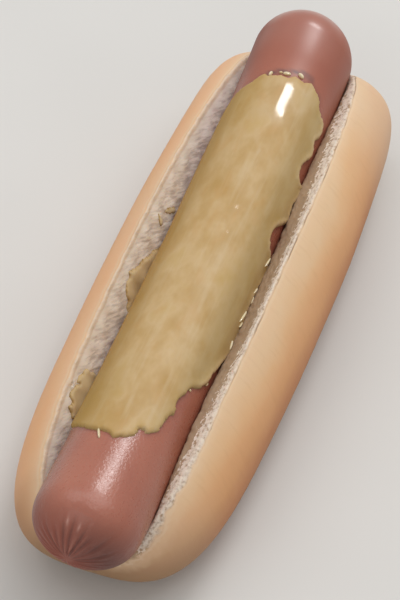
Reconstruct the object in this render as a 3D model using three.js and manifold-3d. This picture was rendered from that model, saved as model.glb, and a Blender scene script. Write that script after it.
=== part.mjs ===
// A hot dog: a frankfurter in a soft bun that is cut open along its top, with a
// layer of mustard over the sausage that has run into the cut on one side.
//
// Millimetres, +Z up. The bun stands on Z = 0 and the sausage lies along Y, with
// its gathered end towards -Y. The origin is under the middle of the whole.

import * as THREE from "three";
import { mergeVertices } from "three/addons/utils/BufferGeometryUtils.js";
import Module from "manifold-3d";

const wasm = await Module();
wasm.setup();

// ------------------------------------------------------------ dimensions

const CLEARANCE = 0.3;

const SAUSAGE = {
  radius: 11.9,
  halfLength: 80.7,
  axisHeight: 24.8,
  endLift: 4.9,
  gatheredCap: { length: 10.7, power: 2.3, sink: 0.6 },
  plainCap: { length: 10.8, power: 2.0, sink: 0 },
};

// The creases round the gathered end. Spreads and fades are angles from its
// tip, in degrees.
const PUCKER = {
  creases: 12,
  depth: 0.5,
  spread: 36,
  fade: 24,
  dimple: 1.0,
  dimpleSpread: 16,
};

// Each end rounds off by its own power and root. The late powers say how near
// the end it leans, lifts and is cleft.
const BUN = {
  nearEnd: -73,
  farEnd: 77.7,
  halfWidth: 25.7,
  bellyHeight: 13.5,
  crownHeight: 40.5,
  flatDepth: 1.2,
  topPower: 2.0,
  bottomPower: 2.2,
  leanPower: 3,
  liftPower: 8,
  cleftPower: 9,
  near: {
    power: 6.4,
    root: 2.9,
    narrowing: 0.055,
    lowering: 0.2,
    lean: -0.7,
    lift: 1.2,
    cleft: { depth: 2.4, width: 13 },
  },
  far: {
    power: 9.2,
    root: 4.6,
    narrowing: 0.06,
    lowering: 0.45,
    lean: 0,
    lift: 0,
    cleft: { depth: 6, width: 11 },
  },
};

// The cut: a V whose walls leave the sausage low on its sides. Heights are from
// the sausage's axis. The walls are torn, in folds that the two don't share.
const CUT = {
  floor: -3.2,
  ceiling: 20,
  overrun: 5,
  floorHalfWidth: 11.8,
  flare: 0.42,
  nearFlare: 0.22,
  farFlare: 0.35,
  rowSpacing: 1.6,
  roughness: 0.35,
  foldOffset: 3,
  folds: [
    { along: 1.13, up: 0.5, shift: 0 },
    { along: 0.71, up: -0.9, shift: 2 },
  ],
};

// The mustard, on the sausage's skin: angles are in degrees from straight up,
// positive to the right (+X), and lengths run along the sausage.
const MUSTARD = {
  nearEdge: -57,
  farEdge: 54.5,
  leftAngle: -79,
  rightAngle: 76,
  rimThickness: 0.45,
  crownThickness: 1.2,
  nearSlope: { start: 0.1, rise: 31, power: 1.6 },
  nearRound: 6,
  nearRipples: { height: 0.4, count: 9 },
  farRound: { centre: 0.3, fall: 7, power: 2.2 },
  farShoulder: { start: 0.55, fall: 6, power: 2 },
  farRipples: { height: 0.4, count: 11 },
  scallops: [
    { swing: 2.2, pitch: 1.3, shift: 0 },
    { swing: 1.4, pitch: 2.9, shift: 1 },
  ],
  leftShift: 7,
  sideTaper: 4,
  endTaper: 10,
  wave: { height: 0.12, along: 0.35, across: 5 },
};

// Where the right-hand edge draws back (positive) or runs further down (negative).
const RIGHT_EDGE_BAYS = [
  { at: 35.5, width: 4.5, depth: 14 },
  { at: 14.5, width: 4.5, depth: 15 },
  { at: -13, width: 9, depth: -9 },
];

// Mustard lying in the cut, between the sausage's left side and the crumb.
const POOL = { offset: 1.4, halfWidth: 3.2, halfHeight: 3.4, clearance: 0.45 };
const POOLS = [
  { at: -4.5, halfLength: 13, rise: 0.6 },
  { at: -41.5, halfLength: 8, rise: 0 },
];

// How finely each shape is faceted.
const FACETS = {
  sausage: { sides: 48, rows: 20, capRows: 8 },
  bed: { sides: 36, rows: 24, capRows: 5 },
  poolBed: { sides: 48, rows: 24, capRows: 5 },
  loaf: { sides: 44, rows: 40 },
  cut: { along: 56, up: 6 },
  mustard: { across: 16, along: 40 },
  pool: { sides: 20, rows: 14 },
};

// --------------------------------------------------------------- helpers

// Corners nearer than this are one corner.
const SAME_PLACE = 1e-4;

const clamp = THREE.MathUtils.clamp;
const radians = THREE.MathUtils.degToRad;
const degrees = THREE.MathUtils.radToDeg;

function bell(distance, width) {
  return Math.exp(-((distance / width) ** 2));
}

function signedPower(value, power) {
  return Math.sign(value) * Math.abs(value) ** power;
}

// Moves every corner of a geometry to the place that a function gives it.
function reshape(geometry, place) {
  const corners = geometry.attributes.position;
  const corner = new THREE.Vector3();
  for (let i = 0; i < corners.count; i += 1) {
    corner.fromBufferAttribute(corners, i);
    const { x, y, z } = place(corner);
    corners.setXYZ(i, x, y, z);
  }
  return geometry;
}

// A closed solid from a geometry, without the flat triangles at its poles.
function toSolid(geometry) {
  geometry.deleteAttribute("normal");
  geometry.deleteAttribute("uv");
  const merged = mergeVertices(geometry, SAME_PLACE);
  const index = merged.index.array;
  const triVerts = [];
  for (let i = 0; i < index.length; i += 3) {
    const [a, b, c] = index.slice(i, i + 3);
    if (a !== b && b !== c && c !== a) {
      triVerts.push(a, b, c);
    }
  }
  return new wasm.Manifold(new wasm.Mesh({
    numProp: 3,
    vertProperties: new Float32Array(merged.attributes.position.array),
    triVerts: new Uint32Array(triVerts),
  }));
}

function toMesh(name, solid, finish) {
  const { vertProperties, triVerts } = solid.getMesh();
  const geometry = new THREE.BufferGeometry();
  geometry.setAttribute("position", new THREE.BufferAttribute(vertProperties, 3));
  geometry.setIndex(new THREE.BufferAttribute(triVerts, 1));
  geometry.computeVertexNormals();
  const mesh = new THREE.Mesh(geometry, new THREE.MeshStandardMaterial(finish));
  mesh.name = name;
  return mesh;
}

// --------------------------------------------------------------- sausage

// Height of the sausage's axis: it lies lowest in its middle.
function axisHeight(y) {
  return SAUSAGE.axisHeight + SAUSAGE.endLift * (y / SAUSAGE.halfLength) ** 2;
}

// How far the skin is drawn in towards the axis by the creases round the
// gathered end. The tilt is the angle from the end's tip, in degrees, and the
// turn goes round the axis.
function creaseDepth(tilt, turn) {
  const creased = (1 + Math.cos(PUCKER.creases * turn)) / 2;
  return PUCKER.depth * creased * bell(tilt - PUCKER.spread, PUCKER.fade);
}

// The sausage, or its space grown by a margin.
function sausageSolid(margin, { sides, rows, capRows }) {
  const radius = SAUSAGE.radius + margin;
  const { gatheredCap, plainCap, halfLength } = SAUSAGE;
  const gatheredLength = gatheredCap.length - gatheredCap.sink;
  const body = 2 * halfLength - gatheredLength - plainCap.length;
  const middle = (gatheredLength - plainCap.length) / 2;
  const capsule = new THREE.CapsuleGeometry(radius, body, capRows, sides, rows);
  return toSolid(reshape(capsule, (p) => {
    const beyond = clamp((Math.abs(p.y) - body / 2) / radius, 0, 1);
    if (beyond === 0) {
      const y = middle + p.y;
      return new THREE.Vector3(p.x, y, axisHeight(y) + p.z);
    }
    const gathered = p.y < 0;
    const cap = gathered ? gatheredCap : plainCap;
    const aside = Math.hypot(p.x, p.z) / radius;
    const tilt = degrees(Math.atan2(aside, beyond));
    const turn = Math.atan2(p.x, p.z);
    let out = radius * aside ** (2 / cap.power);
    let reach = (cap.length + margin) * beyond ** (2 / cap.power);
    if (gathered && margin === 0) {
      out *= 1 - creaseDepth(tilt, turn) / radius;
      reach -= PUCKER.dimple * bell(tilt, PUCKER.dimpleSpread);
    }
    const y = middle + Math.sign(p.y) * (body / 2 + reach);
    return new THREE.Vector3(out * Math.sin(turn), y, axisHeight(y) + out * Math.cos(turn));
  }));
}

// ------------------------------------------------------------------- bun

// How full the bun is at a place along it, from -1 at the near end to 1.
function bunFullness(along) {
  const end = along < 0 ? BUN.near : BUN.far;
  const round = Math.max(0, 1 - Math.abs(along) ** end.power) ** (1 / end.root);
  return {
    width: round * (1 - end.narrowing * along ** 2),
    crown: round * (1 - end.lowering * along ** 2),
    base: round,
    lean: end.lean * Math.abs(along) ** BUN.leanPower,
    lift: end.lift * along ** BUN.liftPower,
    cleft: end.cleft,
  };
}

// The loaf before it is cut, with the flat underside that it was baked on.
function loafSolid() {
  const middle = (BUN.nearEnd + BUN.farEnd) / 2;
  const halfLength = (BUN.farEnd - BUN.nearEnd) / 2;
  const ball = new THREE.SphereGeometry(1, FACETS.loaf.sides, FACETS.loaf.rows);
  return toSolid(reshape(ball, (p) => {
    const { width, crown, base, lean, lift, cleft } = bunFullness(p.y);
    const reach = Math.hypot(p.x, p.z) || 1;
    const power = p.z > 0 ? BUN.topPower : BUN.bottomPower;
    const across = signedPower(p.x / reach, 2 / power);
    const up = signedPower(p.z / reach, 2 / power);
    const rise = (BUN.crownHeight - BUN.bellyHeight) * crown;
    const drop = (BUN.bellyHeight + BUN.flatDepth) * base;
    const belly = BUN.bellyHeight + lift;
    const x = BUN.halfWidth * width * across;
    const drawnIn = cleft.depth * bell(x, cleft.width) * p.y ** BUN.cleftPower;
    return new THREE.Vector3(
      lean + x,
      middle + halfLength * p.y - drawnIn,
      Math.max(0, belly + up * (up > 0 ? rise : drop)),
    );
  }));
}

// Torn crumb: shallow folds across the walls of the cut.
function crumbRelief(y, height) {
  let folds = 0;
  for (const { along, up, shift } of CUT.folds) {
    folds += Math.sin(along * y + up * height + shift);
  }
  return (CUT.roughness * folds) / CUT.folds.length;
}

// The space inside the cut, drawn in from its walls by a margin. Its rows lie
// closer together towards the floor.
function cutSolid(margin) {
  const length = 2 * (SAUSAGE.halfLength + CUT.overrun);
  const block = new THREE.BoxGeometry(2, length, 1, 1, FACETS.cut.along, FACETS.cut.up);
  return toSolid(reshape(block, (p) => {
    const up = (p.z + 0.5) ** CUT.rowSpacing;
    const height = CUT.floor + up * (CUT.ceiling - CUT.floor);
    const along = p.y / BUN.farEnd;
    const widening = along ** 2 * (along < 0 ? CUT.nearFlare : CUT.farFlare);
    const wall = CUT.floorHalfWidth + (height - CUT.floor) * (CUT.flare + widening);
    const half = wall + crumbRelief(p.y + CUT.foldOffset * p.x, height) - margin;
    return new THREE.Vector3(p.x * half, p.y, axisHeight(p.y) + height);
  }));
}

function bunSolid() {
  return loafSolid()
    .subtract(sausageSolid(CLEARANCE, FACETS.bed))
    .subtract(cutSolid(0));
}

// --------------------------------------------------------------- mustard

// The edge's small scallops, in degrees round the sausage.
function scallop(y) {
  let angle = 0;
  for (const { swing, pitch, shift } of MUSTARD.scallops) {
    angle += swing * Math.sin(pitch * y + shift);
  }
  return angle;
}

function rightAngle(y) {
  let angle = MUSTARD.rightAngle + scallop(y);
  for (const bay of RIGHT_EDGE_BAYS) {
    angle -= bay.depth * bell(y - bay.at, bay.width);
  }
  return angle;
}

// How far a place lies past the start of a slope that ends at 1.
function past(across, start) {
  return Math.max(0, (across - start) / (1 - start));
}

function ripple({ height, count }, across) {
  return height * Math.sin(count * across);
}

function nearEdge(across) {
  const slope = MUSTARD.nearSlope;
  const climb = slope.rise * past(across, slope.start) ** slope.power;
  const rounding = MUSTARD.nearRound * Math.min(0, across) ** 2;
  return MUSTARD.nearEdge + climb + rounding + ripple(MUSTARD.nearRipples, across);
}

function farEdge(across) {
  const round = MUSTARD.farRound;
  const shoulder = MUSTARD.farShoulder;
  const rounding = round.fall * Math.abs(across - round.centre) ** round.power;
  const drop = shoulder.fall * past(across, shoulder.start) ** shoulder.power;
  return MUSTARD.farEdge - rounding - drop + ripple(MUSTARD.farRipples, across);
}

// The layer over the sausage. Across runs from -1 on the left to 1 on the right.
function mustardLayer() {
  const { rimThickness, crownThickness, leftAngle, leftShift, wave } = MUSTARD;
  const sheet = new THREE.BoxGeometry(2, 2, 1, FACETS.mustard.across, FACETS.mustard.along, 1);
  return toSolid(reshape(sheet, (p) => {
    const across = p.x;
    const near = nearEdge(across);
    const y = near + ((farEdge(across) - near) * (p.y + 1)) / 2;
    const edge = across < 0 ? scallop(y + leftShift) - leftAngle : rightAngle(y);
    const turn = radians(across * edge);
    const body = (1 - across ** MUSTARD.sideTaper) * (1 - p.y ** MUSTARD.endTaper);
    const swell = wave.height * Math.sin(wave.along * y) * Math.cos(wave.across * across);
    const thickness = rimThickness + (crownThickness - rimThickness + swell) * body;
    const radius = SAUSAGE.radius + CLEARANCE + (p.z > 0 ? thickness : 0);
    return new THREE.Vector3(
      radius * Math.sin(turn),
      y,
      axisHeight(y) + radius * Math.cos(turn),
    );
  }));
}

// A lump that fills the left-hand side of the cut, against the sausage.
function poolLump(pool) {
  const centreX = -(SAUSAGE.radius + POOL.offset);
  const ball = new THREE.SphereGeometry(1, FACETS.pool.sides, FACETS.pool.rows);
  return toSolid(reshape(ball, (p) => {
    const y = pool.at + pool.halfLength * p.y;
    return new THREE.Vector3(
      centreX + POOL.halfWidth * p.x,
      y,
      axisHeight(y) + pool.rise + POOL.halfHeight * p.z,
    );
  }));
}

function mustardSolid() {
  const sausageSpace = sausageSolid(POOL.clearance, FACETS.poolBed);
  const cutSpace = cutSolid(CLEARANCE);
  let mustard = mustardLayer();
  for (const pool of POOLS) {
    const lump = poolLump(pool).intersect(cutSpace).subtract(sausageSpace);
    mustard = mustard.add(lump);
  }
  return mustard;
}

// ---------------------------------------------------------------- object

const hotDog = new THREE.Group();
hotDog.add(
  toMesh("bun", bunSolid(), { color: 0xd2aa82, roughness: 0.75, metalness: 0 }),
  toMesh("sausage", sausageSolid(0, FACETS.sausage), {
    color: 0xa9695c,
    roughness: 0.38,
    metalness: 0,
  }),
  toMesh("mustard", mustardSolid(), { color: 0xbf9f63, roughness: 0.35, metalness: 0 }),
);

export default hotDog;
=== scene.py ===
"""A hot dog: a frankfurter in a soft bun that is cut open along its top, under mustard.

The bun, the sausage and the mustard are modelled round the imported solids. Sizes are in
millimetres, and MM takes them to metres. The bun stands on Z = 0 and the sausage lies
along Y, with its gathered end towards -Y.
"""

import math
import random

import bmesh
import bpy
import numpy as np
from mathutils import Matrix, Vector, noise


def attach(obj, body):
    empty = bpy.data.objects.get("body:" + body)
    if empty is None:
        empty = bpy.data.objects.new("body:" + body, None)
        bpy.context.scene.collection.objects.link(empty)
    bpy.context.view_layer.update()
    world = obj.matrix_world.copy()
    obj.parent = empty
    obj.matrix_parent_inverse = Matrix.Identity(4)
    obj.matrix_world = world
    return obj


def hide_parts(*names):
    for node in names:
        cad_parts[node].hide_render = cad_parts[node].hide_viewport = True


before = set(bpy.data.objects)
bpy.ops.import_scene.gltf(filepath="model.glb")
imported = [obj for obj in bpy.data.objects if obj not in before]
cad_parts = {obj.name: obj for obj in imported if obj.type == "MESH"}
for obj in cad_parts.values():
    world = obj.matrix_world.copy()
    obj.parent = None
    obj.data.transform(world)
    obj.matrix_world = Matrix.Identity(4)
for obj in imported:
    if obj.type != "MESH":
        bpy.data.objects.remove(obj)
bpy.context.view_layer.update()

MM = 0.001

# ---------------------------------------------------------------- sizes

SAUSAGE_RADIUS = 11.9
SAUSAGE_HALF_LENGTH = 80.7
AXIS_HEIGHT = 24.8
AXIS_END_LIFT = 4.9
GATHERED_CAP = {"length": 10.7, "power": 2.3, "sink": 0.6}
PLAIN_CAP = {"length": 10.8, "power": 1.92}
NEAR_CAP_LENGTH = GATHERED_CAP["length"] - GATHERED_CAP["sink"]
NEAR_CAP_BASE = NEAR_CAP_LENGTH - SAUSAGE_HALF_LENGTH

BUN_NEAR_END = -73.0
BUN_FAR_END = 77.7
BUN_MIDDLE = (BUN_NEAR_END + BUN_FAR_END) / 2
BUN_HALF_LENGTH = (BUN_FAR_END - BUN_NEAR_END) / 2
BUN_HALF_WIDTH = 25.7
BELLY_HEIGHT = 13.5
CROWN_HEIGHT = 40.5
FLAT_DEPTH = 1.2
TOP_POWER = 2.0
BOTTOM_POWER = 2.2
NEAR = {
    "power": 6.55, "root": 2.98, "narrowing": 0.096, "lowering": 0.237,
    "lean": -1.0, "lift": 0.9, "cleft": (2.43, 15.2),
}
FAR = {
    "power": 13.9, "root": 4.95, "narrowing": 0.105, "lowering": 0.46,
    "lean": -0.1, "lift": 0.25, "cleft": (6.9, 11.0),
}
LEAN_POWER = 3
LIFT_POWER = 8
CLEFT_POWER = 9
MIDDLE_LEAN = 0.27

# The right side stands out a little past the middle, and less before it: a place along
# the bun from -1 to 1, a reach, and how far the side stands out.
RIGHT_BULGES = ((0.38, 0.3, 0.3), (-0.5, 0.4, -0.45))

CUT_FLOOR = -3.2
CUT_CEILING = 20.0
CUT_OVERRUN = 5.0
CUT_FLOOR_HALF_WIDTH = 11.8
CUT_FLARE = 0.42
CUT_NEAR_FLARE = 0.22
CUT_FAR_FLARE = 0.35
CUT_DIVISIONS = 90
CUT_ROW_POWER = 1.6

# The cut's walls have broad folds: their height on the right and on the left, how far
# the two sides are shifted, and each wave's radians to a millimetre along the wall and
# up it, and its start.
FOLD_HEIGHTS = (0.05, 0.13)
FOLD_SHIFT = 3
FOLD_WAVES = ((1.13, 0.5, 0), (0.71, -0.9, 2))

# The right wall leans in below its lip, more so towards both ends, until it lies
# against the sausage.
SHOULDER = {"slope": 0.2, "end_slope": 0.7, "from": 12.0, "to": 50.0, "least_flare": 0.02}

# ------------------------------------------------------------ modelling


def start_afresh():
    """Nothing is selected, so that an operator acts only on what comes next."""
    bpy.ops.object.select_all(action="DESELECT")


def named(name):
    piece = bpy.context.object
    piece.name = name
    piece.data.name = name
    return piece


def choose(piece):
    """Selects this piece alone."""
    start_afresh()
    piece.select_set(True)
    bpy.context.view_layer.objects.active = piece


def settle(piece):
    """Puts the piece's place, turn and scale into its mesh."""
    choose(piece)
    bpy.ops.object.transform_apply(location=True, rotation=True, scale=True)


def modify(piece, kind, **settings):
    """Adds a modifier and applies it."""
    modifier = piece.modifiers.new(kind.title(), kind)
    for name, value in settings.items():
        setattr(modifier, name, value)
    bpy.context.view_layer.objects.active = piece
    bpy.ops.object.modifier_apply(modifier=modifier.name)


def corners(piece):
    """The piece's vertices, in millimetres."""
    flat = np.empty(3 * len(piece.data.vertices))
    piece.data.vertices.foreach_get("co", flat)
    return flat.reshape(-1, 3) / MM


def place_corners(piece, places):
    piece.data.vertices.foreach_set("co", (places * MM).ravel())
    piece.data.update()


def facing(piece):
    """Which way each vertex faces."""
    flat = np.empty(3 * len(piece.data.vertices))
    piece.data.vertex_normals.foreach_get("vector", flat)
    return flat.reshape(-1, 3)


def mark(piece, **marks):
    """Stores numbers for the finish to read, each for all vertices or one for each."""
    count = len(piece.data.vertices)
    for name, values in marks.items():
        attribute = piece.data.attributes.new(name, "FLOAT", "POINT")
        attribute.data.foreach_set("value", np.full(count, values, np.float32))


def shade_smooth(piece):
    choose(piece)
    bpy.ops.object.shade_smooth()


def in_edit_mode(piece, kind, chosen, act):
    """Selects the corners, edges or faces that are chosen, and acts on them."""
    choose(piece)
    bpy.ops.object.mode_set(mode="EDIT")
    bpy.ops.mesh.select_mode(type=kind)
    bpy.ops.mesh.select_all(action="DESELECT")
    mesh = bmesh.from_edit_mesh(piece.data)
    for part in {"VERT": mesh.verts, "EDGE": mesh.edges, "FACE": mesh.faces}[kind]:
        part.select_set(bool(chosen(part)))
    mesh.select_flush_mode()
    bmesh.update_edit_mesh(piece.data)
    act()
    bpy.ops.object.mode_set(mode="OBJECT")


def everything(_):
    return True


def smooth_step(low, high, values):
    t = np.clip((values - low) / (high - low), 0, 1)
    return t * t * (3 - 2 * t)


def bell(distance, width):
    return np.exp(-((distance / width) ** 2))


def signed_power(values, power):
    return np.sign(values) * np.abs(values) ** power


def rough(places, scale, seed):
    """Soft noise, about -1 to 1, at each place. The scale is features to a millimetre."""
    stretched = places * np.asarray(scale) + seed
    return np.array([noise.noise(Vector(p)) for p in stretched])


def layered(places, layers):
    """Layers of soft noise. Each has a height, features to a millimetre, and a seed."""
    return sum(height * rough(places, scale, seed) for height, scale, seed in layers)


# -------------------------------------------------------------- sausage


def axis_height(y):
    """The sausage's axis lies lowest in its middle."""
    return AXIS_HEIGHT + AXIS_END_LIFT * (y / SAUSAGE_HALF_LENGTH) ** 2


def capsule(name, margin, segments, rings, cuts):
    """The sausage's plain form, grown by a margin."""
    radius = SAUSAGE_RADIUS + margin
    body = 2 * SAUSAGE_HALF_LENGTH - NEAR_CAP_LENGTH - PLAIN_CAP["length"]
    middle = (NEAR_CAP_LENGTH - PLAIN_CAP["length"]) / 2
    start_afresh()
    bpy.ops.mesh.primitive_uv_sphere_add(
        segments=segments, ring_count=rings, radius=radius * MM,
        rotation=(math.radians(90), 0, 0),
    )
    piece = named(name)
    settle(piece)

    def crosses_middle(edge):
        ends = [vertex.co.y for vertex in edge.verts]
        return min(ends) < 0 < max(ends)

    for side in (1, -1):
        away = side * body / 2 * MM
        in_edit_mode(
            piece, "VERT", lambda vertex: vertex.co.y * side > 0,
            lambda: bpy.ops.transform.translate(value=(0, away, 0)),
        )
    in_edit_mode(
        piece, "EDGE", crosses_middle, lambda: bpy.ops.mesh.subdivide(number_cuts=cuts),
    )

    places = corners(piece)
    x, y, z = places.T
    beyond = np.clip((np.abs(y) - body / 2) / radius, 0, 1)
    aside = np.hypot(x, z) / radius
    turn = np.arctan2(x, z)
    gathered = y < 0
    power = np.where(gathered, GATHERED_CAP["power"], PLAIN_CAP["power"])
    length = np.where(gathered, GATHERED_CAP["length"], PLAIN_CAP["length"]) + margin
    on_cap = beyond > 0
    out = np.where(on_cap, radius * aside ** (2 / power), radius)
    reach = np.where(on_cap, body / 2 + length * beyond ** (2 / power), np.abs(y))
    along = middle + np.sign(y) * reach
    place_corners(piece, on_axis(out, turn, along))
    return piece, out, turn, along


def on_axis(out, turn, along):
    """Places at a distance from the sausage's axis, a turn round it and a way along it."""
    return np.stack([out * np.sin(turn), along, axis_height(along) + out * np.cos(turn)], -1)


SKIN_MESH = {"segments": 256, "rings": 161, "cuts": 190}
ROWS_TO = 69.9
ROW_POWER = 0.5
FAR_LEAN = {"most": 0.45, "from": 50, "to": 78}

# The folds' pole lies below the middle of the gathered end.
POLE = (-1.6, -4.2)
POLE_DIMPLE = {"depth": 0.35, "width": 2.0}

# Where the longer folds lie round the pole, in degrees from straight up, and how far
# they reach along the skin in millimetres.
LONG_FOLDS = (
    (-118, 6), (-93, 8), (-78, 8), (-64, 8.5), (-51, 9), (-38, 10), (-27, 11), (-17, 11),
    (-6, 13), (7, 14.5), (20, 13), (30, 11.5), (38, 9), (45, 14), (54, 8), (62, 11.5),
    (72, 9), (84, 9.5), (97, 8), (112, 7), (130, 6), (150, 6), (170, 6), (190, 6), (213, 6),
)
LONG_FOLD = {"depth": (0.3, 0.46), "width": (0.42, 0.6)}
FINE_FOLD = {"jitter": 0.35, "reach": (4, 9), "depth": (0.1, 0.18), "width": 0.28}
FINE_FOLDS = 30
FOLD_SEED = 7

# A fold sways, is narrow by the pole and has a ridge on each side. It deepens from the
# pole, and fades between two shares of its reach.
SWAY = {"turn": 0.05, "length": 3}
NARROW = {"by_pole": 0.12, "widening": 0.05}
RIDGE = {"height": 0.35, "width": 2.1}
FOLD_RISES = (0.3, 3.0)
FOLD_FADES = (0.6, 1.15)
# Out to these distances from the pole, the gathered end is rougher and painted darker as shade.
GATHERED_TO = (8.0, 16.5)
RIPPLES = {
    "turn": 20, "spread": 20, "from_pole": 15.0, "reach": 2.0, "spacing": 1.25,
    "height": 0.015,
}
RIDGE_GLINTS = ((0.5, 11.9), (13.5, 11.7))
GLINT = {"width": 0.26, "length": 0.8, "height": 0.1}

# The finish paints the flanks darker: painted shade.
# The flanks start and are full at these turns in degrees, and shares of the radius.
FLANK = (20, 85)
FLANK_RIM = (0.3, 0.9)
# The skin beside the mustard's edge is painted darker within this width: painted shade.
SHADE_BESIDE_MUSTARD = 0.7

# A thin dark film lies on the skin past the mustard's far edge: turns in degrees and
# places along the sausage.
FILM_LINE = ((-17, 53.8), (-7, 54.8), (6, 55.5), (20, 56.6), (33, 56.4))
FILM_WIDTH = 0.55


def fold_lines():
    """Each fold's turn round the pole, its reach, its depth and its width."""
    draw = random.Random(FOLD_SEED)
    lines = []
    for turn, reach in LONG_FOLDS:
        depth = draw.uniform(*LONG_FOLD["depth"])
        lines.append((math.radians(turn), reach, depth, draw.uniform(*LONG_FOLD["width"])))
    jitter = FINE_FOLD["jitter"]
    for number in range(FINE_FOLDS):
        turn = (number + draw.uniform(-jitter, jitter)) * 2 * math.pi / FINE_FOLDS
        reach = draw.uniform(*FINE_FOLD["reach"])
        lines.append((turn, reach, draw.uniform(*FINE_FOLD["depth"]), FINE_FOLD["width"]))
    return lines


def past(angle, centre):
    """How far an angle lies past another, from minus half a turn to half a turn."""
    return (angle - centre + math.pi) % (2 * math.pi) - math.pi


def gathered_skin(angle, beside, from_pole):
    """How deep the skin is folded in round the gathered end, in millimetres."""
    draw = random.Random(FOLD_SEED + 1)
    depth = np.zeros_like(angle)
    for centre, reach, deepest, width in fold_lines():
        sway = draw.uniform(-SWAY["turn"], SWAY["turn"])
        sway = sway * np.sin(from_pole / SWAY["length"] + draw.uniform(0, 6))
        across = past(angle, centre + sway) * beside
        narrow = np.minimum(width, NARROW["by_pole"] + NARROW["widening"] * beside)
        ridges = RIDGE["height"] * bell(across, RIDGE["width"] * narrow)
        groove = bell(across, narrow) - ridges
        rise = smooth_step(*FOLD_RISES, from_pole)
        fade = 1 - smooth_step(*(share * reach for share in FOLD_FADES), from_pole)
        depth += deepest * rise * fade * groove
    return depth


def ridge_glints(angle, beside, from_pole):
    """Two short ridges between folds that catch the light."""
    glints = np.zeros_like(angle)
    for turn, distance in RIDGE_GLINTS:
        across = past(angle, math.radians(turn)) * beside
        glints += bell(across, GLINT["width"]) * bell(from_pole - distance, GLINT["length"])
    return glints


def skin_ripples(angle, from_pole):
    """Faint ripples that run round the end above its folds."""
    where = bell(past(angle, math.radians(RIPPLES["turn"])), math.radians(RIPPLES["spread"]))
    where = where * bell(from_pole - RIPPLES["from_pole"], RIPPLES["reach"])
    return RIPPLES["height"] * where * np.sin(2 * math.pi * from_pole / RIPPLES["spacing"])


def dome(x, up):
    """How far the gathered cap stands out from its base."""
    power = GATHERED_CAP["power"]
    share = np.clip(np.hypot(x, up) / SAUSAGE_RADIUS, 0, 1)
    return NEAR_CAP_LENGTH * (1 - share**power) ** (1 / power)


def make_sausage():
    """The frankfurter, with its folds round the pole of the near end."""
    piece, out, turn, along = capsule("sausage_skin", 0, **SKIN_MESH)
    # The body's rings lie closer together past the mustard, and those round the near
    # cap slide down it and stay on its surface.
    spaced = np.sign(along) * ROWS_TO * (np.abs(along) / ROWS_TO) ** ROW_POWER
    along = np.where(np.abs(along) < ROWS_TO, spaced, along)
    share = np.clip(out / SAUSAGE_RADIUS, 0, 1)
    slide = np.where(along < NEAR_CAP_BASE, 1 - share**2, 0)
    x = out * np.sin(turn) + POLE[0] * slide
    up = out * np.cos(turn) + POLE[1] * slide
    along = np.where(along < NEAR_CAP_BASE, NEAR_CAP_BASE - dome(x, up), along)
    bent = x - FAR_LEAN["most"] * smooth_step(FAR_LEAN["from"], FAR_LEAN["to"], along)
    places = np.stack([bent, along, axis_height(along) + up], -1)
    place_corners(piece, places)

    end = NEAR_CAP_BASE - dome(*POLE)
    pole = np.array([POLE[0], end, axis_height(end) + POLE[1]])
    from_pole = np.linalg.norm(places - pole, axis=1)
    angle = np.arctan2(x - POLE[0], up - POLE[1])
    beside = np.hypot(x - POLE[0], up - POLE[1])
    folds = gathered_skin(angle, beside, from_pole)
    glints = ridge_glints(angle, beside, from_pole)
    dimple = POLE_DIMPLE["depth"] * bell(from_pole, POLE_DIMPLE["width"])
    inward = folds + dimple - GLINT["height"] * glints - skin_ripples(angle, from_pole)
    place_corners(piece, places - facing(piece) * inward[:, None])
    shade_smooth(piece)

    flat = np.stack([turn * SAUSAGE_RADIUS, along], -1)
    film = np.array([(math.radians(t) * SAUSAGE_RADIUS, y) for t, y in FILM_LINE])
    edge = ragged_depth(*flat.T, mustard_outline())
    flank = smooth_step(*np.radians(FLANK), np.abs(turn))
    mark(
        piece, fold=folds, glint=glints,
        flank=flank * smooth_step(*FLANK_RIM, out / SAUSAGE_RADIUS),
        gathered=1 - smooth_step(*GATHERED_TO, from_pole),
        beside_mustard=bell(np.minimum(edge, 0), SHADE_BESIDE_MUSTARD),
        film=bell(distance_to(flat, film), FILM_WIDTH),
    )
    return piece


# ------------------------------------------------------------------ bun


def fullness(along):
    """How full the bun is along it, from -1 at the near end to 1."""
    near = along < 0

    def either(key):
        return np.where(near, NEAR[key], FAR[key])

    round_off = np.maximum(0, 1 - np.abs(along) ** either("power")) ** (1 / either("root"))
    return {
        "width": round_off * (1 - either("narrowing") * along**2),
        "crown": round_off * (1 - either("lowering") * along**2),
        "base": round_off,
        "lean": either("lean") * np.abs(along) ** LEAN_POWER + MIDDLE_LEAN * (1 - along**2),
        "lift": either("lift") * along**LIFT_POWER,
        "cleft_depth": np.where(near, NEAR["cleft"][0], FAR["cleft"][0]),
        "cleft_width": np.where(near, NEAR["cleft"][1], FAR["cleft"][1]),
    }


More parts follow.
